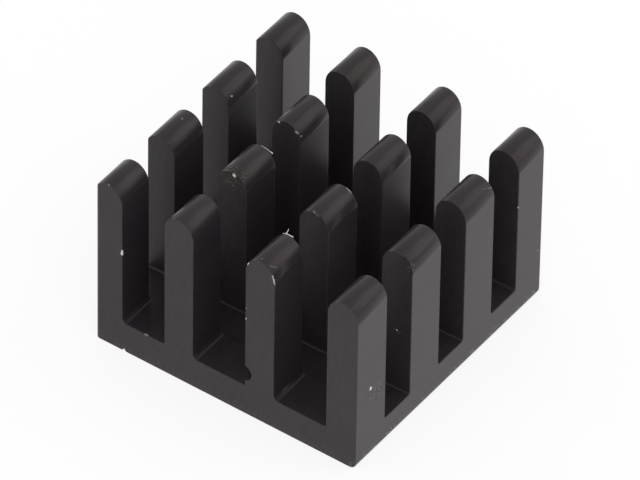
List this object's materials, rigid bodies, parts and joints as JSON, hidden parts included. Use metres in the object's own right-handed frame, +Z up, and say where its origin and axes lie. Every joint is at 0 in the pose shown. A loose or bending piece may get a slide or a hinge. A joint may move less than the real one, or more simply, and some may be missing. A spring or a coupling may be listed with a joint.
{
  "type": "chip heat sink",
  "caption": "Small black aluminium block heat sink: a flat base with tall round-topped fins cut crosswise into pins, to cool a chip glued under it.",
  "frame": {"origin": "middle of the flat underside that lies on the chip", "axes": "+X across the fins towards the side with the thicker outer fin, +Y along the fins towards the back, +Z up from the underside to the pin tips"},
  "size_m": [0.015, 0.0148, 0.0101],
  "materials": {
    "black_anodised": "black anodised, satin, over sawn and extruded faces"
  },
  "bodies": {
    "root": {"heat_sink": "black_anodised"}
  },
  "joints": []
}
